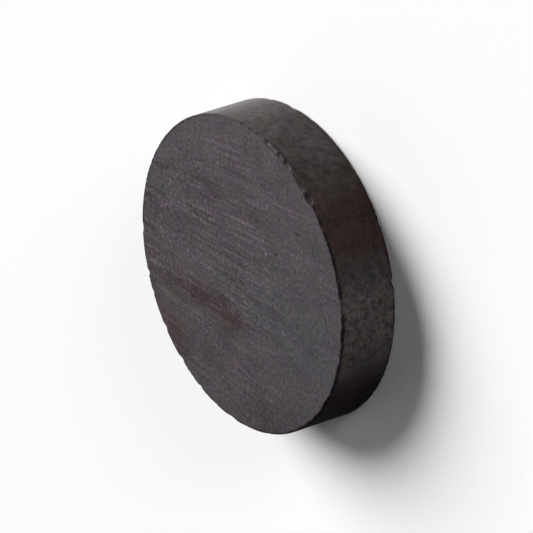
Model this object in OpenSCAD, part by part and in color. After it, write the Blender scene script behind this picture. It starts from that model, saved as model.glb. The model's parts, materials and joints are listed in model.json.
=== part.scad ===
// Disc magnet: a plain disc of hard ferrite, pressed, sintered and ground flat on both pole faces.
// It lies on one pole face. The origin is the centre of that face, and +Z is the axis of the disc,
// which is also the way it is magnetised. Lengths are in millimetres and angles in degrees.

/* [Disc] */
// Outside diameter, as it left the sintering furnace
disc_d = 25; // [12:0.5:50]
// Thickness between the two ground pole faces
disc_t = 5; // [2:0.25:15]

/* [Worn edges] */
// Radius worn on the edge of the upper pole face
top_edge_r = 0.15; // [0.05:0.01:0.4]
// Radius worn on the edge of the pole face that it lies on
base_edge_r = 0.15; // [0.05:0.01:0.4]

/* [Chips] */
// Size of the broken-out chips against those in the lists
chip_size = 1; // [0.5:0.05:1.5]
// Slots for small nicks round the upper edge
top_nick_slots = 36; // [0:1:60]
// Slots for small nicks round the lower edge
base_nick_slots = 28; // [0:1:60]
// Widest nick, along the edge
nick_w = 1.1; // [0.6:0.05:1.4]
// Deepest nick, past the worn edge
nick_depth = 0.04; // [0.02:0.01:0.12]
// Choice of where the nicks fall
nick_seed = 11; // [0:1:200]

/* [Hidden] */

$fn = 144;
rim_r = disc_d / 2;

// Chips in the edge of the upper pole face: the angle round the axis, the width along the edge,
// how far it runs in over the pole face and how far it runs down the rim, both past the worn edge.
top_chips = [
    [-77, 0.7, 0.04, 0.08],
    [-61.5, 1.6, 0.3, 0.2],
    [-56, 2.8, 0.22, 0.1],
    [-46, 0.6, 0.05, 0.1],
    [-42, 0.6, 0.04, 0.06],
    [-35, 0.8, 0.05, 0.08],
    [1, 0.9, 0.03, 0.06],
    [7, 0.8, 0.03, 0.06],
    [72.5, 1.4, 0.06, 0.1],
    [89.5, 0.6, 0.1, 0.1],
    [96.5, 0.6, 0.04, 0.06],
    [110, 0.9, 0.07, 0.1],
    [123.5, 1.2, 0.1, 0.12],
    [136, 0.6, 0.04, 0.06],
    [155, 1.8, 0.03, 0.06],
    [218, 2.0, 0.05, 0.08],
    [233, 2.6, 0.07, 0.1],
    [248, 1.8, 0.05, 0.08]
];

// Chips in the edge of the lower pole face, in the same order.
base_chips = [
    [-77, 0.8, 0.06, 0.12],
    [-20, 1.6, 0.1, 0.1],
    [38, 0.9, 0.12, 0.15],
    [131, 1.3, 0.1, 0.1],
    [205, 2.0, 0.08, 0.08],
    [262, 0.8, 0.12, 0.14]
];

// A stretch of the rim as the angle it covers, and the gap between two angles.
function rim_angle(width) = width / rim_r * 180 / PI;
function angle_gap(a, b) = abs((a - b + 900) % 360 - 180);
function is_clear(angle, chips) =
    min([for (chip = chips) angle_gap(angle, chip[0]) - rim_angle(chip[1] + nick_w) / 2]) > 0;

// Nicks are small chips. Each has a slot of its own round the edge, lies at random in the middle
// of it, and is left out where one of the larger chips has already taken the edge away.
function nicks(slots, seed, chips) = [
    for (i = [0 : 1 : slots - 1])
        let (
            pick = rands(0.4, 1, 4, seed + i),
            angle = 360 / slots * (i + pick[0])
        )
        if (is_clear(angle, chips))
            [angle, nick_w * pick[1], nick_depth * pick[2], nick_depth * pick[3]]
];

// A quarter of a round bar's end, which turns a square corner of the section into a worn one.
module quarter(r) {
    intersection() {
        circle(r);
        square(r);
    }
}

// Half of the disc's section, from the axis to the rim, with both corners worn round.
module section() {
    square([rim_r - max(top_edge_r, base_edge_r), disc_t]);
    translate([0, base_edge_r])
        square([rim_r, disc_t - base_edge_r - top_edge_r]);
    translate([0, disc_t / 2])
        square([rim_r - top_edge_r, disc_t / 2]);
    square([rim_r - base_edge_r, disc_t / 2]);
    translate([rim_r - top_edge_r, disc_t - top_edge_r])
        quarter(top_edge_r);
    translate([rim_r - base_edge_r, base_edge_r])
        mirror([0, 1])
            quarter(base_edge_r);
}

// The shell-shaped bite that a chip leaves in an edge at z = 0, with the disc below it. It is a ball
// through four points: the far end of the chip on the pole face, its low end on the rim, and
// the two places where it runs out along the edge.
module bite(angle, width, reach, fall) {
    half = width / 2;
    out = (half * half + reach * reach) / (2 * reach);
    up = (half * half - fall * fall) / (2 * fall);
    rotate([0, 0, angle])
        translate([rim_r - reach + out, 0, up])
            sphere(r = norm([out, up]));
}

// All the bites of one edge. The edge is worn, so each goes that much deeper from the sharp corner.
module bites(chips, edge_r) {
    for (chip = chips)
        bite(chip[0], chip[1], chip[2] + edge_r, chip[3] + edge_r);
}

function sized(chips) = [for (chip = chips) [chip[0], chip[1] * chip_size,
                                             chip[2] * chip_size, chip[3] * chip_size]];

module disc() {
    color("#4b474a")
        difference() {
            rotate_extrude()
                section();
            translate([0, 0, disc_t])
                bites(concat(sized(top_chips), nicks(top_nick_slots, nick_seed, top_chips)),
                      top_edge_r);
            mirror([0, 0, 1])
                bites(concat(sized(base_chips), nicks(base_nick_slots, 500 + nick_seed, base_chips)),
                      base_edge_r);
        }
}

disc();
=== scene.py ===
# %% [markdown]
# # A ferrite disc magnet
# The real thing is one lump of hard ferrite, a black ceramic. The powder is pressed in a round
# die, fired in a furnace, and then only its two flat faces are ground. So a disc has three kinds
# of surface: the ground faces with their fine lines, the rim with the skin that the furnace left,
# and the broken stone inside each chip of the edge. This lesson makes one closed skin for the disc
# with numpy, and one material that knows the three surfaces apart.

# %% Start from the packed model
import json
import math

import bpy
import numpy as np
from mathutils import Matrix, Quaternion, Vector


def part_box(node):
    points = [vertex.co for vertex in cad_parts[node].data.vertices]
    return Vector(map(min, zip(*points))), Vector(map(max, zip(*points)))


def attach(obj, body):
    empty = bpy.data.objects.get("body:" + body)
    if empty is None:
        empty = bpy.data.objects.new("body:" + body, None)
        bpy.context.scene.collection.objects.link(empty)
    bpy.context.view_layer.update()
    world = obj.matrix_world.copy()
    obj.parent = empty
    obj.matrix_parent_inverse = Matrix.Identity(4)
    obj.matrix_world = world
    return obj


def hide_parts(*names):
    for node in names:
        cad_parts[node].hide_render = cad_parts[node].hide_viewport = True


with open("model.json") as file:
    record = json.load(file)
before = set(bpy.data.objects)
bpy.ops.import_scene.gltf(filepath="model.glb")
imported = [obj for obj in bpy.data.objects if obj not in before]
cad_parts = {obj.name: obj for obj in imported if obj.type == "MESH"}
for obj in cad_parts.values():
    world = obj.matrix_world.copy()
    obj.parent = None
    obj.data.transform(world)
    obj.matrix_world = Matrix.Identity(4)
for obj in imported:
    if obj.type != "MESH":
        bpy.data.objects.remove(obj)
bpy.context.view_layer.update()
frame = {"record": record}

# %% [markdown]
# ## Sizes
# Every size comes from the packed model, so the skin can't drift away from it: the radius and the
# thickness from the disc's own box, and the worn edge from the length of plain rim that its
# mount states. Blender works in metres, and a magnet is easier to think of in millimetres.

# %% Sizes, in millimetres
MM = 0.001
TINY = 1e-9  # a length that counts as none
low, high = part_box("disc")
radius = (high.x - low.x) / 2 / MM
thick = (high.z - low.z) / MM
rim_mount = next(m for m in frame["record"]["mounts"] if m["name"] == "rim")
edge_r = (thick - rim_mount["dims"]["length_mm"]) / 2
print(f"radius {radius:.2f}, thickness {thick:.2f}, worn edge {edge_r:.2f}")

# %% [markdown]
# ## The skin as a surface of two parameters
# A disc is a section carried round an axis. One parameter runs along the section, from the middle
# of the lower face, out round the lower edge, up the rim, round the upper edge and in to the
# middle of the upper face. The other is the angle round the axis. A cylinder with a bevel would
# give the same outline, but here the rings of points can be packed where the chips will be, within
# 0.6 mm of each edge, and left wide apart where the faces are flat.

# %% Where the rings lie
FINE = 0.06  # spacing of the rings near an edge
FINE_REACH = 0.6  # how far the fine rings go in from an edge
COARSE_RINGS = 9
RIM_RINGS = 10
CORNER_RINGS = 6


def face_distances(flat):
    """Distances from the axis across a flat face: fine steps by the edge, then ever wider ones."""
    fine = np.arange(0, FINE_REACH, FINE)
    coarse = FINE_REACH * (flat / FINE_REACH) ** np.linspace(0, 1, COARSE_RINGS)
    return flat - np.concatenate([fine, coarse])


def rim_heights(bottom, top):
    """Heights up the rim: fine steps by both edges, and even wider ones between."""
    fine = np.arange(0, FINE_REACH, FINE)
    middle = np.linspace(bottom + FINE_REACH, top - FINE_REACH, RIM_RINGS)
    return np.concatenate([bottom + fine, middle, (top - fine)[::-1]])


def corner(start):
    """Points on a quarter of the unit circle from a start angle, without its two ends."""
    turn = start + np.linspace(0, math.pi / 2, CORNER_RINGS + 2)[1:-1]
    return np.cos(turn), np.sin(turn)


print("rings across a face", len(face_distances(radius)), "and up the rim", len(rim_heights(0, thick)))

# %% The section


def section():
    """The section as one array of (distance from the axis, height), from pole to pole."""
    flat = radius - edge_r
    across = face_distances(flat)[::-1]
    up = rim_heights(edge_r, thick - edge_r)
    low_x, low_z = corner(-math.pi / 2)
    top_x, top_z = corner(0)
    out = np.concatenate([across, flat + edge_r * low_x, np.full(len(up), radius),
                          flat + edge_r * top_x, across[::-1]])
    height = np.concatenate([np.zeros(len(across)), edge_r + edge_r * low_z, up,
                             thick - edge_r + edge_r * top_z, np.full(len(across), thick)])
    return np.stack([out, height], 1)


outline = section()
print("rings", len(outline))

# %% Carry the section round the axis
COLUMNS = 1200


def carried_round(outline):
    """Every ring but the two poles times every angle: x and y from the angle, z from the ring."""
    turn = np.arange(COLUMNS) * (2 * math.pi / COLUMNS)
    out, height = outline[1:-1, :1], outline[1:-1, 1:]
    rings = np.stack([out * np.cos(turn), out * np.sin(turn), height + 0 * turn], 2)
    ends = np.array([[0, 0, outline[0, 1]], [0, 0, outline[-1, 1]]])
    return np.concatenate([rings.reshape(-1, 3), ends])


def grid_faces(rings):
    """Quads between neighbouring rings, closed round the axis, and a fan of triangles at each pole."""
    this = np.arange(COLUMNS)
    after = (this + 1) % COLUMNS
    start = np.arange(rings - 1)[:, None] * COLUMNS
    quads = np.stack([start + this, start + after,
                      start + COLUMNS + after, start + COLUMNS + this], 2)
    last = (rings - 1) * COLUMNS
    bottom = np.stack([0 * this + rings * COLUMNS, after, this], 1)
    top = np.stack([0 * this + rings * COLUMNS + 1, last + this, last + after], 1)
    return quads.reshape(-1, 4), bottom, top


points = carried_round(outline)
quads, bottom_fan, top_fan = grid_faces(len(outline) - 2)
print("points", len(points), "triangles", 2 * len(quads) + 2 * COLUMNS)

# %% [markdown]
# ## Chips
# Ferrite breaks like glass: a knock on the edge spalls off a small shell and leaves a hollow that
# is part of a ball. So a chip is made by pushing every point that lies inside a ball on into the
# disc, until it meets the ball's far wall. The ball goes through four points of the chip: its far
# end on the face, its low end on the rim, and the two places where it runs out along the edge.
# Cutting with a Boolean modifier would do it too, but it leaves long ragged triangles along each
# cut. Broken stone isn't smooth, so the ball's radius wavers by a few hundredths of a millimetre.

# %% A wavering field
WAVES = 26


def wavering(places, longest, shortest, seed):
    """A smooth random value at each place: a sum of sine waves, each with a direction, a wavelength
    and a phase of its own. The longer waves are the stronger ones. The sum is scaled to a spread of
    one half, so that it seldom leaves -1 to 1."""
    draw = np.random.default_rng(seed)
    length = longest * (shortest / longest) ** draw.random(WAVES)
    facing = draw.normal(size=(WAVES, 3))
    facing /= np.linalg.norm(facing, axis=1, keepdims=True)
    phase = places @ (2 * math.pi * facing / length[:, None]).T + draw.random(WAVES) * 2 * math.pi
    strength = np.sqrt(length)
    return np.sin(phase) @ strength / np.linalg.norm(strength) * math.sqrt(2) / 2


trial = wavering(points[::97], longest=0.7, shortest=0.12, seed=3)
print("a wavering field goes from", round(float(trial.min()), 2), "to", round(float(trial.max()), 2))

# %% Push points through a ball
ROUGH_BREAK = 0.02  # how far the broken stone wavers from a true ball


def ball_of(chip):
    """How far outside the edge and how far beyond the face the middle of a chip's ball lies, and
    the ball's radius. The chip is its angle, its width along the edge, and how far it runs in over
    the face and along the rim, both counted from where the worn edge ends."""
    half, reach, fall = chip[1] / 2, chip[2] + edge_r, chip[3] + edge_r
    out = (half**2 + reach**2) / (2 * reach)
    beyond = (half**2 - fall**2) / (2 * fall)
    return out - reach, beyond, math.hypot(out, beyond)


def bitten(points, chips, height, side, waver):
    """The points after each chip has pushed them slantwise into the disc, to its ball's far wall:
    the larger s for which |p + s * slant - centre| is the ball's radius. The height is that of the
    face, and the side is 1 on the upper edge and -1 on the lower."""
    moved = points.copy()
    for chip in chips:
        turn = math.radians(chip[0])
        outward = np.array([math.cos(turn), math.sin(turn), 0])
        up = np.array([0, 0, side])
        out, beyond, ball = ball_of(chip)
        apart = moved - (radius + out) * outward - [0, 0, height + side * beyond]
        slant = -(outward + up) / math.sqrt(2)
        along = apart @ slant
        room = (ball + waver) ** 2 - (apart**2).sum(1)
        moved += np.where(room > 0, np.sqrt(along**2 + np.maximum(room, 0)) - along, 0)[:, None] * slant
    return moved


print("radius of the ball behind a small chip:", round(ball_of((0, 1, 0.1, 0.1))[2], 2), "mm")

# %% [markdown]
# The larger chips lie where this disc has them. Each is its angle round the axis from +X, its width
# along the edge, and how far it runs in over the face and along the rim. Then come nicks too small
# to count, which make the whole edge slightly ragged: they are drawn at random, with a fixed seed
# so that each run gives the same disc.

# %% The larger chips of both edges
TOP_CHIPS = [
    (-77, 0.7, 0.04, 0.08), (-61.5, 1.6, 0.3, 0.2), (-56, 2.8, 0.22, 0.1),
    (-46, 0.6, 0.05, 0.1), (-42, 0.6, 0.04, 0.06), (-35, 0.8, 0.05, 0.08),
    (1, 0.9, 0.03, 0.06), (7, 0.8, 0.03, 0.06), (72.5, 1.4, 0.06, 0.1),
    (89.5, 0.6, 0.1, 0.1), (96.5, 0.6, 0.04, 0.06), (110, 0.9, 0.07, 0.1),
    (123.5, 1.2, 0.1, 0.12), (136, 0.6, 0.04, 0.06), (155, 1.8, 0.03, 0.06),
    (218, 2.0, 0.05, 0.08), (233, 2.6, 0.07, 0.1), (248, 1.8, 0.05, 0.08),
]
BASE_CHIPS = [
    (-77, 0.8, 0.06, 0.12), (-20, 1.6, 0.1, 0.1), (38, 0.9, 0.12, 0.15),
    (131, 1.3, 0.1, 0.1), (205, 2.0, 0.08, 0.08), (262, 0.8, 0.12, 0.14),
]
print("larger chips:", len(TOP_CHIPS), "above and", len(BASE_CHIPS), "below")

# %% Nicks, and the chipped disc
NICKS = 150
NICK_LEAST = 0.3  # the narrowest nick
NICK_MORE = 0.9  # how much wider than that a nick may be


def nicks(seed):
    """Small chips at random angles. Most only dent the worn edge, and a few go just past it."""
    draw = np.random.default_rng(seed)
    width = NICK_LEAST + NICK_MORE * draw.random(NICKS) ** 3
    reach = edge_r * (0.6 * draw.random(NICKS) - 0.6)
    fall = edge_r * (0.8 * draw.random(NICKS) - 0.6)
    return np.stack([360 * draw.random(NICKS), width, reach, fall], 1)


waver = ROUGH_BREAK * wavering(points, longest=0.7, shortest=0.12, seed=3)
chipped = bitten(points, [*TOP_CHIPS, *nicks(seed=5)], thick, 1, waver)
chipped = bitten(chipped, [*BASE_CHIPS, *nicks(seed=6)], 0, -1, waver)
chip_depths = np.linalg.norm(chipped - points, axis=1)
print("deepest chip", round(float(chip_depths.max()), 2), "mm, points moved", int((chip_depths > 0).sum()))

# %% [markdown]
# ## The furnace skin
# The rim was never ground. Pressing and firing leave it very slightly uneven: faint upright bands
# where the powder dragged on the die, and shallow dimples. They are only about a hundredth of a
# millimetre deep, but they break up the light along the rim. Points only move inwards, so the
# disc stays inside its real size.

# %% Uneven rim
BAND_DEPTH = 0.007
BAND_SQUEEZE = 0.12  # heights are squeezed by this, which draws the bands out upright
DIMPLE_DEPTH = 0.006
SKIN_FADE = 0.3  # how far in over a face the unevenness fades out


def uneven(places):
    """How far the rim lies inside the true cylinder: bands that hardly change with height, plus
    dimples, faded out over the faces by the distance from the axis."""
    bands = wavering(places * [1, 1, BAND_SQUEEZE], longest=4.5, shortest=1.0, seed=21)
    dimples = wavering(places, longest=1.8, shortest=0.5, seed=22)
    from_axis = np.hypot(places[:, 0], places[:, 1])
    on_rim = np.clip((from_axis - radius + SKIN_FADE) / SKIN_FADE, 0, 1)
    return on_rim * (BAND_DEPTH * (1 + bands) + DIMPLE_DEPTH * (1 + dimples)) / 2


sunk = uneven(points)
outward = chipped[:, :2] / np.maximum(np.hypot(chipped[:, :1], chipped[:, 1:2]), TINY)
chipped[:, :2] -= outward * sunk[:, None]
print("rim lies up to", round(float(sunk.max()), 4), "mm inside its true size")

# %% [markdown]
# ## Into Blender
# The arrays go into the mesh in one step. The depth of each point's chip goes along as an
# attribute, which the material reads to tell broken stone from old skin. The skin is also laid
# out flat for baking, like the label of a tin: a disc for each face, and two strips for the rim.

# %% The mesh
SHARP_ANGLE = math.radians(32)


def disc_mesh(name):
    """One closed mesh from the arrays, with smooth shading that stops at sharp creases."""
    mesh = bpy.data.meshes.new(name)
    faces = [*quads.tolist(), *bottom_fan.tolist(), *top_fan.tolist()]
    mesh.from_pydata((chipped * MM).tolist(), [], faces)
    mesh.attributes.new("broken", "FLOAT", "POINT").data.foreach_set("value", chip_depths)
    mesh.shade_smooth()
    mesh.set_sharp_from_angle(angle=SHARP_ANGLE)
    mesh.update()
    return mesh


mesh = disc_mesh("ferrite_disc")
disc = bpy.data.objects.new("ferrite_disc", mesh)
bpy.context.scene.collection.objects.link(disc)
print("faces", len(mesh.polygons), "problems found", mesh.validate())

# %% Laid out flat
GAP = 0.4  # millimetres between the islands of the layout


def corners(ring, column, ring_steps, column_steps):
    """For each corner of each face: its ring and column, then its face's own ring and column."""
    return np.array([(ring[:, None] + ring_steps).ravel(), (column[:, None] + column_steps).ravel(),
                     np.repeat(ring, len(ring_steps)), np.repeat(column, len(ring_steps))])


def flat_layout():
    """A place on the unit square for each corner of each face. The two faces with their worn edges
    become discs, whose radius is the distance along the section, and the rim unrolls in two halves."""
    length = np.concatenate([[0], np.cumsum(np.hypot(*np.diff(outline, axis=0).T))])
    this, last = np.arange(COLUMNS), len(outline) - 2
    quad = np.meshgrid(np.arange(1, last), this, indexing="ij")
    ring, column, face_ring, face_column = np.concatenate([
        corners(quad[0].ravel(), quad[1].ravel(), [0, 0, 1, 1], [0, 1, 1, 0]),
        corners(0 * this, this, [0, 1, 1], [0.5, 1, 0]),
        corners(0 * this + last, this, [1, 0, 0], [0.5, 0, 1])], axis=1)
    ring = ring.astype(int)
    rim_start = int(np.argmax(outline[:, 0] > radius - TINY))
    rim_end = len(outline) - 1 - rim_start
    turn, size = column * (2 * math.pi / COLUMNS), length[rim_start]
    second = face_column >= COLUMNS / 2
    low_disc = size + length[ring] * [np.cos(turn), -np.sin(turn)]
    top_disc = size + (length[-1] - length[ring]) * [np.cos(turn), np.sin(turn)]
    top_disc[0] += 2 * size + GAP
    strip = np.array([radius * (turn - math.pi * second), length[ring] - size])
    strip[1] += 2 * size + GAP + second * (length[rim_end] - size + GAP)
    on_rim = (face_ring >= rim_start) & (face_ring < rim_end)
    place = np.where(on_rim, strip, np.where(face_ring < rim_start, low_disc, top_disc))
    side = 4 * size + 3 * GAP
    return (place.T + GAP) / side


layout = flat_layout()
mesh.uv_layers.new(name="OFBake", do_init=False).uv.foreach_set("vector", layout.ravel())
print("layout goes from", layout.min(0).round(3), "to", layout.max(0).round(3))

# %% [markdown]
# ## Writing a material as formulas
# A Blender material is a graph of nodes, and a long chain of Math nodes is hard to read. Here one
# small class wraps an output socket, so that `1 - mask * 0.5` adds the two Math nodes itself.
# Anything else, such as a noise or a blend of two colours, comes from its one method `node`, which
# takes the type, the settings, and what goes into each socket.

# %% Sockets that can be reckoned with


class Wire:
    """One output socket of a shader tree, with arithmetic that adds Math nodes."""

    tree = None  # the node tree that is being filled

    def __init__(self, socket):
        self.socket = socket

    @classmethod
    def node(cls, kind, settings, inputs, output=0):
        """A node of any type: its settings first, then the value or the wire for each socket."""
        made = cls.tree.nodes.new("ShaderNode" + kind)
        for name, value in settings.items():
            setattr(made, name, value)
        for name, value in inputs.items():
            if isinstance(value, Wire):
                cls.tree.links.new(value.socket, made.inputs[name])
            else:
                made.inputs[name].default_value = value
        return cls(made.outputs[output]) if made.outputs else None

    @classmethod
    def maths(cls, operation, *values):
        """A Math node. The values are wires or numbers."""
        return cls.node("Math", {"operation": operation}, dict(enumerate(values)))

    def output(self, name):
        """Another output of the same node."""
        return Wire(self.socket.node.outputs[name])

    def __add__(self, other):
        return self.maths("ADD", self, other)

    def __sub__(self, other):
        return self.maths("SUBTRACT", self, other)

    def __rsub__(self, other):
        return self.maths("SUBTRACT", other, self)

    def __mul__(self, other):
        return self.maths("MULTIPLY", self, other)

    def __truediv__(self, other):
        return self.maths("DIVIDE", self, other)

    def __pow__(self, other):
        return self.maths("POWER", self, other)

    __radd__ = __add__
    __rmul__ = __mul__


print("a Wire knows", *(name for name, what in vars(Wire).items() if callable(what)))

# %% Shorthands for values
NOISE_GAIN = 3.5  # the Noise Texture seldom leaves 0.2 to 0.8, and this spreads it about 0


def between(value, low, high):
    """0 up to low and 1 from high on, with an even S-shaped rise between. Low may be the larger of
    the two, which turns the rise into a fall."""
    return Wire.node("MapRange", {"interpolation_type": "SMOOTHSTEP"},
                     {"Value": value, "From Min": low, "From Max": high})


def vector(x, y, z):
    """Three values as one vector."""
    return Wire.node("CombineXYZ", {}, {0: x, 1: y, 2: z})


def noise(place, scale, detail=2.0, rough=0.5):
    """Soft random blobs about 1 / scale across, as a value about 0 that seldom leaves -1 to 1."""
    grey = Wire.node("TexNoise", {}, {"Vector": place, "Scale": scale, "Detail": detail,
                                      "Roughness": rough})
    return (grey - 0.5) * NOISE_GAIN


def tally(what):
    """Say how many nodes the tree holds once something has been added to it."""
    print(what, "done, nodes so far:", len(Wire.tree.nodes))


print("noise values come out between", -0.5 * NOISE_GAIN, "and", 0.5 * NOISE_GAIN)

# %% Shorthands for colours


def blend(share, first, second):
    """A colour between two others. The Mix node has several sockets of each name, one for each kind
    of value, so the factor, the two colours and the resulting colour are picked by their numbers."""
    return Wire.node("Mix", {"data_type": "RGBA"}, {0: share, 6: first, 7: second}, output=2)


def paint(red, green, blue):
    """A colour given as it looks on a screen, from 0 to 255, in the linear form that Blender uses."""
    screen = np.array([red, green, blue]) / 255
    linear = np.where(screen < 0.04045, screen / 12.92, ((screen + 0.055) / 1.055) ** 2.4)
    return (*linear.tolist(), 1.0)


def dimmed(colour, by):
    """A colour times a value, so that the pattern darkens and lightens it without changing its hue."""
    return Wire.node("VectorMath", {"operation": "SCALE"}, {0: colour, "Scale": by})


print("screen grey 128 is", round(paint(128, 128, 128)[0], 3), "in linear form")

# %% [markdown]
# ## Where on the disc
# The pattern follows the object's own coordinates, turned into millimetres, so that a spacing in
# the material reads as it would be measured on the disc. Three masks tell the surfaces apart: the
# ground faces by their height, the broken stone by the attribute that the mesh carries, and, further
# on, the worn edge by how near it is to the sharp corner that it once was.

# %% A place, and the three surfaces
material = bpy.data.materials.new("hard_ferrite")
material.use_nodes = True
material.node_tree.nodes.clear()
Wire.tree = material.node_tree

metres = Wire.node("TexCoord", {}, {}, output="Object")
place = Wire.node("VectorMath", {"operation": "SCALE"}, {0: metres, "Scale": 1 / MM})
x = Wire.node("SeparateXYZ", {}, {0: place})
y, z = x.output("Y"), x.output("Z")
from_axis = (x * x + y * y) ** 0.5
angle = Wire.maths("ARCTAN2", y, x)

GROUND_DEPTH = 0.03  # below a face by this, the surface is no longer ground
SKIN_DEEP, STONE_DEEP = 0.004, 0.03  # depths of a chip where the skin ends and where bare stone starts
ground = 1 - between(z, GROUND_DEPTH / 3, GROUND_DEPTH) + between(z, thick - GROUND_DEPTH,
                                                                  thick - GROUND_DEPTH / 3)
chip_depth = Wire.node("Attribute", {"attribute_name": "broken"}, {}, output="Fac")
broken = between(chip_depth, SKIN_DEEP, STONE_DEEP)
tally("places and masks")

# %% [markdown]
# ## Smudges
# What makes one disc look handled is what isn't even, so most of what follows is stronger in some
# places than in others. They could be painted on a map by hand, but as a few numbers each they
# are easier to move about. Each is an ellipse whose edge is pushed about by noise, so that no outline
# looks drawn. They lie on the upper face alone, which keeps the lower face plain.

# %% Smudges on the upper face
SMUDGE_END = 1.1  # where a smudge has faded out, as a share of its ellipse

upper = between(z, thick / 2 - 0.1, thick / 2 + 0.1)
ragged = noise(place, 0.9, detail=3.0) * 0.35


def smudge(centre_x, centre_y, half_length, half_width, tilt, soft):
    """1 inside an ellipse on the upper face and 0 outside. Its long axis is tilted from +X by some
    degrees, and it starts to fade at the share of its size that soft gives."""
    turn = math.radians(tilt)
    aside_x, aside_y = x - centre_x, y - centre_y
    run = (aside_x * math.cos(turn) + aside_y * math.sin(turn)) / half_length
    rise = (aside_y * math.cos(turn) - aside_x * math.sin(turn)) / half_width
    return (1 - between((run * run + rise * rise) ** 0.5 + ragged, soft, SMUDGE_END)) * upper


def smudges(marks, soft=0.0):
    """The sum of several smudges. Each mark is its centre's x and y, its half length, its half
    width, its tilt and its strength."""
    return sum(smudge(*mark[:-1], soft) * mark[-1] for mark in marks)


tally("edges of the smudges")

# %% [markdown]
# ## Grinding lines
# The faces are ground by a large wheel, which leaves fine lines that run nearly straight across
# and spread slightly, as if they came from one point far to the side. So the pattern is written
# in the distance from that point and the angle round it. A Wave Texture would give lines that all
# run from end to end, so this is a noise that is stretched a long way along the lines and squeezed
# across them. It gives streaks of the right pitch, in three widths, that start and stop. The lines
# show in bundles, and fade towards the -X, +X and -Y sides, where the wheel pressed less. In one
# place they are coarser, with more grain between them, and in two more they are fainter.

# %% Streaks that fan out
FAN_X, FAN_Y = 2.15 * radius, 5.6 * radius  # the point that the lines spread from
fan_reach = math.hypot(FAN_X, FAN_Y)
from_fan_x, from_fan_y = x - FAN_X, y - FAN_Y
across = Wire.maths("ARCTAN2", from_fan_x, from_fan_y * -1) * fan_reach
along = (from_fan_x * from_fan_x + from_fan_y * from_fan_y) ** 0.5


def streaks(pitch, length, layer, detail=1.0):
    """Streaks a pitch apart and about a length long. The layer number picks another set."""
    return noise(vector(across / pitch, along / length, layer), scale=1.0, detail=detail)


coarse_lines = streaks(pitch=0.9, length=6.0, layer=1.5)
fine_lines = between(streaks(pitch=0.3, length=6.0, layer=7.5), -0.4, 0.4) - 0.5
hair_lines = between(streaks(pitch=0.16, length=2.8, layer=13.5), -0.4, 0.4) - 0.5
tally("streaks")

# %% Where the lines show
blotch = noise(place, 0.35)
bundles = between(streaks(pitch=2.0, length=8.0, layer=41.0), -0.35, 0.3)
away_from_minus_y = between(y + blotch * 4, -8, 2)
between_x_sides = between(x + blotch * 2, -9, -1) * between(x + blotch * 2, 12, 6)
coarser = smudges([(5.5, 7.0, 8.0, 6.5, 67, 1.0)])
fainter = smudges([(6.5, -8.5, 8.0, 6.0, 60, 0.8), (-3.5, 8.0, 3.0, 3.0, 67, 0.5)])
showing = (0.3 + bundles * 0.7) * (0.4 + away_from_minus_y * 0.6) * (0.4 + between_x_sides * 0.6)
showing *= 1 + coarser * 0.25 - fainter
lines = (coarse_lines * 0.17 + fine_lines * 0.95 + hair_lines * 1.3) * showing
tally("grinding lines")

# %% [markdown]
# ## Stains, specks and scratches
# A rusty smear, darker and paler smudges, a few single grains that are dark or bright, and two
# bundles of scratches that follow the grinding. Noise alone would spread such marks evenly, and
# real ones gather, so each is placed as one more smudge, down to the smallest speck.

# %% Stains
rust = smudges([(-1.8, 5.8, 7.0, 1.9, 67, 0.45), (-3.4, 2.7, 3.0, 1.9, 62, 0.42),
                (-1.2, 6.8, 3.0, 1.2, 66, 0.22), (-4.9, 10.3, 3.0, 2.0, 30, 0.6),
                (6.6, 1.1, 1.7, 0.9, 70, 0.42), (1.0, 12.2, 5.0, 0.8, 5, 0.5)])
soot = smudges([(5.5, 9.2, 4.0, 1.9, 70, 0.5), (4.7, -3.0, 3.4, 1.2, 70, 0.36),
                (-2.6, 3.3, 4.6, 1.3, 63, 0.2), (-6.3, 6.3, 2.2, 1.3, 60, 0.35),
                (-11.6, 0.0, 6.0, 3.4, 90, 0.42), (-1.0, 9.7, 4.0, 2.4, 67, 0.24)])
pale = smudges([(6.8, 5.1, 3.4, 1.8, 70, 1.0), (9.5, 1.0, 3.0, 1.6, 80, 1.0),
                (5.5, -6.4, 3.0, 1.6, 60, 1.0)])
cool = smudges([(-5.0, -5.6, 9.0, 5.5, 40, 1.0)])
warm = smudges([(-1.0, 11.5, 9.5, 4.5, 15, 1.0)])
tally("stains")

# %% Specks and scratches
bright_specks = smudges([(1.6, -4.0, 0.22, 0.16, 0, 1.0), (7.5, 6.0, 0.35, 0.16, 60, 1.0),
                         (-4.5, -4.2, 0.3, 0.16, 40, 0.6)], soft=0.2)
dark_specks = smudges([(1.6, -5.2, 0.25, 0.18, 0, 1.0), (-0.5, 7.3, 0.35, 0.2, 66, 1.0),
                       (3.2, -8.6, 0.35, 0.18, 60, 1.0), (-6.4, -4.3, 0.3, 0.15, 60, 1.0)], soft=0.2)
scratched = smudges([(3.5, -2.0, 4.2, 1.3, 66, 1.0), (4.9, -8.0, 2.6, 0.8, 71, 1.0)], soft=0.3)
scratch_lines = streaks(pitch=0.27, length=8.0, layer=31.0, detail=0.0)
scratches = between(scratch_lines, 0.15, 0.35) * scratched
tally("specks and scratches")

# %% [markdown]
# ## The colours
# Ferrite looks black beside other things, but its ground face is a dark grey with a breath of
# purple, and it drifts towards brown on one side and towards blue on the other. The face is also
# painted a little lighter towards +X and -Y, which is painted light. The rim is browner, with a
# rusty, a greenish and a pale stretch, a darker, warmer stretch where it gleams, which is painted
# shade with a warm tint for the gleam, and a dark stretch of painted shade on the side away from
# the key lamp. Each colour is first mixed by hue, and then the streaks and grains only darken or
# lighten it, as they do on the real stone. On the face they add up as a power of e, which keeps the
# dark side of the pattern as gentle as the light. The broken stone is darker the deeper the chip,
# which is painted shade in its hollow.

# %% Grain of the stone
SPECK_FROM, SPECK_FULL = 0.16, 0.34  # how far from 0 the grain starts to be a speck, and fully is one

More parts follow.
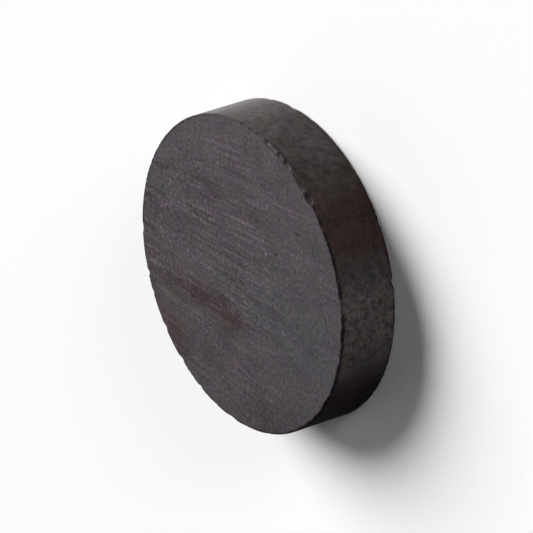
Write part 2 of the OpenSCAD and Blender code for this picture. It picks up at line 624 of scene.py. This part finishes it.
cloud = noise(place, 0.8, detail=3.0, rough=0.7)
grain = noise(place, 3.4, detail=3.0, rough=0.85)
sparkle = between(grain, SPECK_FROM, SPECK_FULL) * (0.3 + showing)
pits = between(grain, -SPECK_FROM, -SPECK_FULL) * (0.3 + showing)


def mottled(colour, scale, strength):
    """A colour whose red, green and blue each waver by themselves, in blobs about 1 / scale across."""
    wander = Wire.node("TexNoise", {}, {"Vector": place, "Scale": scale, "Detail": 2.0}, output="Color")
    share = Wire.node("VectorMath", {"operation": "MULTIPLY_ADD"},
                      {0: wander, 1: (strength,) * 3, 2: (1 - strength / 2,) * 3})
    return Wire.node("VectorMath", {"operation": "MULTIPLY"}, {0: colour, 1: share})


tally("grain")

# %% The ground face
face_hue = blend(warm * 0.5, paint(75, 69, 73), paint(77, 67, 65))
face_hue = blend(cool * 0.6, face_hue, paint(68, 70, 74))
face_hue = blend(rust, face_hue, paint(60, 37, 39))
face_hue = blend(soot, face_hue, paint(44, 38, 40))
face_hue = mottled(face_hue, scale=2.2, strength=0.35)
face_hue = mottled(face_hue, scale=0.8, strength=0.35)

FACE_LEVEL = 0.045  # taken off, because a power of e comes out above 1 on the whole
pattern = lines * 0.42 + grain * (coarser * 0.3 + 0.73) + cloud * 0.14 + blotch * 0.15
# x * 0.008 - y * 0.0015 is painted light: the face a little lighter towards +X and towards -Y
pattern += x * 0.008 - y * 0.0015 + sparkle * 0.16 - pits * 0.16 + pale * 0.07
pattern += scratches * 0.5 + bright_specks * 0.8 - dark_specks * 0.9
face_colour = dimmed(face_hue, Wire.maths("EXPONENT", pattern - FACE_LEVEL))
tally("ground face")

# %% Stretches of the rim
upright = Wire.node("VectorMath", {"operation": "MULTIPLY"}, {0: place, 1: (1, 1, 0.18)})
bands = noise(upright, 0.8, rough=0.6)
skin_grain = noise(place, 2.4, detail=4.0, rough=0.85)
pebbles = noise(place, 1.3, rough=0.6)
patches = noise(place, 0.35, detail=3.0, rough=0.6)


def rim_stretch(middle, half):
    """1 along a stretch of the rim, by the angle of its middle and half of what it spans. It fades
    from 0.4 of that to 1.4, and its ends are ragged."""
    off = Wire.maths("ABSOLUTE", angle - math.radians(middle)) * radius
    reach = math.radians(half) * radius
    return 1 - between(off + ragged * 2, reach * 0.4, reach * 1.4)


tally("rim patterns")

# %% The rim
# painted shade: the stretch of the rim round -150 degrees, on the side away from the key lamp, is darkened
SHADED_STRETCH = (-150, 20)  # this stretch is duller too, further on

# Each stretch of the rim: its middle and half of what it spans, in degrees, its share and its colour.
RIM_STRETCHES = [
    (-74, 15, 0.8, paint(53, 36, 34)),  # rusty
    (-58, 6, 0.6, paint(60, 54, 46)),  # greenish
    (-113, 15, 0.9, paint(86, 80, 79)),  # pale
    # darker and warmer: painted shade that dims the rim where it gleams, with a warm tint for the gleam
    (-12, 16, 0.8, paint(67, 57, 57)),  # brown
    # painted shade on the side away from the key lamp
    (*SHADED_STRETCH, 0.8, paint(37, 29, 28)),
]

rim_hue = blend(between(patches, -0.7, 0.7), paint(69, 65, 63), paint(73, 65, 67))
for middle, half, share, stretch_hue in RIM_STRETCHES:
    rim_hue = blend(rim_stretch(middle, half) * (share + pebbles * 0.2), rim_hue, stretch_hue)
rim_hue = mottled(rim_hue, scale=1.2, strength=0.3)
flecks = rim_stretch(-107, 10) * between(skin_grain, 0.05, 0.25)
rim_tone = 1 + skin_grain * 0.65 + pebbles * 0.42 + bands * 0.25 + patches * 0.2 + flecks * 0.3
rim_colour = dimmed(rim_hue, rim_tone)
tally("rim")

# %% The broken stone
# painted shade: the deeper the chip, the darker its stone
shaded_stone_hue = blend(between(chip_depth, 0.06, 0.24), paint(54, 49, 47), paint(46, 42, 42))
stone_colour = dimmed(shaded_stone_hue, 1 + grain)
tally("broken stone")

# %% [markdown]
# ## Painted shade and highlights on the worn edge
# A dark line of painted shade runs along the edge and weaves in and out. It is left out on one
# stretch round -28 degrees, where the edge is lit, and on most of that stretch the rounded edge
# gets a middle grey. Within it a light line and light specks along the edge are painted highlights,
# with a thin dark line of painted shade behind them. All of it follows one value, the distance from
# the sharp corner that the disc had before it was worn. The Bevel node or Geometry's Pointiness
# could find the edge too, but Pointiness changes with how fine the mesh is, and a formula is exact.

# %% Painted shade and highlights on the edge
height_off = Wire.maths("MINIMUM", z, thick - z)
corner_off = ((from_axis - radius) ** 2 + height_off * height_off) ** 0.5
shade_breaks = noise(place, 1.6, detail=3.0)
weaving = corner_off + noise(place, 2.4, detail=1.0) * 0.06
at_edge = 1 - between(corner_off, edge_r * 0.7, edge_r * 1.2)
near_edge = 1 - between(weaving, edge_r * 0.9, edge_r * 1.8)
lit_stretch = rim_stretch(-28, 36)
# painted shade: a dark line along the edge, broken by noise and left out on the lit stretch
edge_shade_mask = near_edge * between(shade_breaks, -0.6, 0.2) * (1 - lit_stretch)
glint_stretch = rim_stretch(-43, 11)
# painted highlights: light specks on the rounded edge in the glint stretch
painted_glints = at_edge * glint_stretch * between(noise(place, 4.0, detail=1.0), 0.0, 0.5)
# painted shade: a thin dark line just inside the light specks
crack_shade = glint_stretch * between(corner_off, edge_r * 1.1, edge_r * 1.5)
crack_shade *= 1 - between(weaving, edge_r * 1.8, edge_r * 2.6)
tally("grime, edge_glints and cracks")

# %% All the colours, laid over each other
colour = blend(ground, rim_colour, face_colour)
colour = blend(broken, colour, stone_colour)
# the painted shade on the edge is lighter round -5 degrees, where the rim gleams
edge_shade = blend(rim_stretch(-5, 20), paint(18, 14, 15), paint(46, 34, 33))
colour = blend(edge_shade_mask * 0.85, colour, edge_shade)
# the rounded edge takes a middle grey along the lit stretch; then come a light line of painted highlight,
# a thin line of painted shade inside it, and light specks of painted highlight
colour = blend(at_edge * lit_stretch * (1 - glint_stretch) * 0.6, colour, paint(54, 49, 50))
colour = blend(at_edge * glint_stretch * 0.4, colour, paint(72, 67, 66))
colour = blend(crack_shade * 0.5, colour, paint(36, 31, 31))
colour = blend(painted_glints * 0.5, colour, paint(118, 112, 110))
tally("colours")

# %% [markdown]
# ## Sheen and relief
# Each grinding line is a tiny groove, so the ground face is dull. The furnace skin is pebbled, but
# it is closed and fairly smooth, so it gleams where one looks along it, except on the stretch of
# painted shade, which is made duller.
# A Bump node tilts the shading as such relief would, without moving any points: it takes a
# height, here in millimetres, and the distance says what one is.

# %% Roughness, relief and the shader
SHEEN = 0.08  # the shader's usual 0.5 is for polished stone
LINE_DEPTH = 0.0016  # depths of the relief, in millimetres
PEBBLE_DEPTH = 0.0045
BREAK_DEPTH = 0.008

rough_face = 0.55 + lines * 0.06
rough_rim = 0.27 + skin_grain * 0.08 + rim_stretch(*SHADED_STRETCH) * 0.7
roughness = rough_face * ground + rough_rim * (1 - ground)
roughness += broken * 0.25 + edge_shade_mask * 0.15 + at_edge * 0.3

relief = (lines * ground * LINE_DEPTH + skin_grain * (1 - ground) * PEBBLE_DEPTH
          + noise(place, 9.0) * broken * BREAK_DEPTH)
bump = Wire.node("Bump", {}, {"Height": relief, "Strength": 1.0, "Distance": MM}, "Normal")
shader = Wire.node("BsdfPrincipled", {}, {"Base Color": colour, "Roughness": roughness,
                                          "Specular IOR Level": SHEEN, "Normal": bump})
Wire.node("OutputMaterial", {}, {"Surface": shader})
disc.data.materials.append(material)
print("nodes in the ferrite", len(material.node_tree.nodes))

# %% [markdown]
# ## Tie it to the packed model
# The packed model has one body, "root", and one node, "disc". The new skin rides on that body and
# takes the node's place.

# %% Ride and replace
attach(disc, "root")
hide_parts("disc")
print(disc.name, "rides on root and stands for the node disc")

# %% [markdown]
# ## The floor
# The floor only has to look white and take the disc's shadow. If it were really white, it would
# throw light back up the rim, so the Light Path node gives it three colours: white where the camera
# sees it, nearly white where the disc mirrors it, and a dull grey where light bounces off it onto
# the disc.

# %% A floor that looks white
FLOOR_HALF = 3.0  # metres, so far that its edge is lost in the white of the world

floor_corners = np.array([[-1, -1, 0], [1, -1, 0], [1, 1, 0], [-1, 1, 0]]) * FLOOR_HALF
floor_mesh = bpy.data.meshes.new("floor")
floor_mesh.from_pydata(floor_corners.tolist(), [], [(0, 1, 2, 3)])
floor = bpy.data.objects.new("floor", floor_mesh)
bpy.context.scene.collection.objects.link(floor)

paper = bpy.data.materials.new("studio_paper")
paper.use_nodes = True
paper.node_tree.nodes.clear()
Wire.tree = paper.node_tree
seen = Wire.node("LightPath", {}, {}, "Is Camera Ray")
mirrored = seen.output("Is Glossy Ray")
paper_colour = blend(mirrored, paint(90, 90, 90), paint(240, 240, 240))
paper_colour = blend(seen, paper_colour, paint(255, 255, 255))
paper_shader = Wire.node("BsdfDiffuse", {}, {"Color": paper_colour})
Wire.node("OutputMaterial", {}, {"Surface": paper_shader})
floor.data.materials.append(paper)
tally("studio paper")

# %% The world
ROOM_LIGHT = 0.04  # strength of the world as the disc is lit by it
WHITE_BEHIND = 0.95  # what it adds to that where the camera sees it

world = bpy.data.worlds.new("studio")
bpy.context.scene.world = world
world.use_nodes = True
world.node_tree.nodes.clear()
Wire.tree = world.node_tree
seen = Wire.node("LightPath", {}, {}, "Is Camera Ray")
strength = ROOM_LIGHT + seen * WHITE_BEHIND
world_shader = Wire.node("Background", {}, {"Color": (1, 1, 1, 1), "Strength": strength})
Wire.node("OutputWorld", {}, {"Surface": world_shader})
tally("world")

# %% [markdown]
# ## Light
# Three sun lamps, as wide as softboxes. A sun's strength is pi when a matt surface that faces it
# shows its own colour, so each strength is given as a share of that. The key lamp comes from
# between +X and +Y and rakes across the upper face, and it leaves the rim that faces -Y in shade.

# %% Three broad lamps
STAND_REACH = 0.5  # metres from the disc to a lamp's stand, for show: a sun is equally bright anywhere


def softbox(name, azimuth, height, share, spread):
    """A sun lamp that shines from an azimuth counted from +X and a height, both in degrees. Its
    strength is a share of what shows a colour as it is, and the spread is its width in degrees."""
    lamp = bpy.data.lights.new(name, "SUN")
    lamp.energy = math.pi * share
    lamp.angle = math.radians(spread)
    turn, lift = math.radians(azimuth), math.radians(height)
    towards = Vector((math.cos(turn) * math.cos(lift), math.sin(turn) * math.cos(lift), math.sin(lift)))
    stand = bpy.data.objects.new(name, lamp)
    stand.location = towards * STAND_REACH
    stand.rotation_euler = towards.to_track_quat("Z", "Y").to_euler()
    bpy.context.scene.collection.objects.link(stand)
    print(f"lamp {name}: strength {lamp.energy:.2f}")


softbox("key", azimuth=42, height=32, share=1.56, spread=42)
softbox("fill", azimuth=-66, height=9, share=0.45, spread=24)
softbox("back_fill", azimuth=100, height=12, share=0.21, spread=40)

# %% [markdown]
# ## Camera
# The camera looks down on the disc from a third of the way up, and is turned well over on its own
# axis, so that the disc shows its upper face to the left and its rim to the right. It stands about
# eighteen widths of the disc away and has a long lens, so near and far show at nearly one size.

# %% The camera
AZIMUTH, ELEVATION, ROLL = math.radians(10.5), math.radians(33.4), math.radians(-107.8)
DISTANCE = 0.441  # metres
LENS = 395  # millimetres
AIM = Vector((0, 0, thick * MM / 2))

back = Vector((math.sin(AZIMUTH) * math.cos(ELEVATION),
               -math.cos(AZIMUTH) * math.cos(ELEVATION), math.sin(ELEVATION)))
lens = bpy.data.cameras.new("camera")
lens.lens = LENS
lens.clip_start = 0.01  # metres, far short of the disc
camera = bpy.data.objects.new("camera", lens)
camera.rotation_mode = "QUATERNION"
camera.rotation_quaternion = back.to_track_quat("Z", "Y") @ Quaternion((0, 0, 1), ROLL)
camera.location = AIM + back * DISTANCE
bpy.context.scene.collection.objects.link(camera)
bpy.context.scene.camera = camera
bpy.context.scene.view_settings.view_transform = "Standard"
print("camera at", [round(value, 3) for value in camera.location])
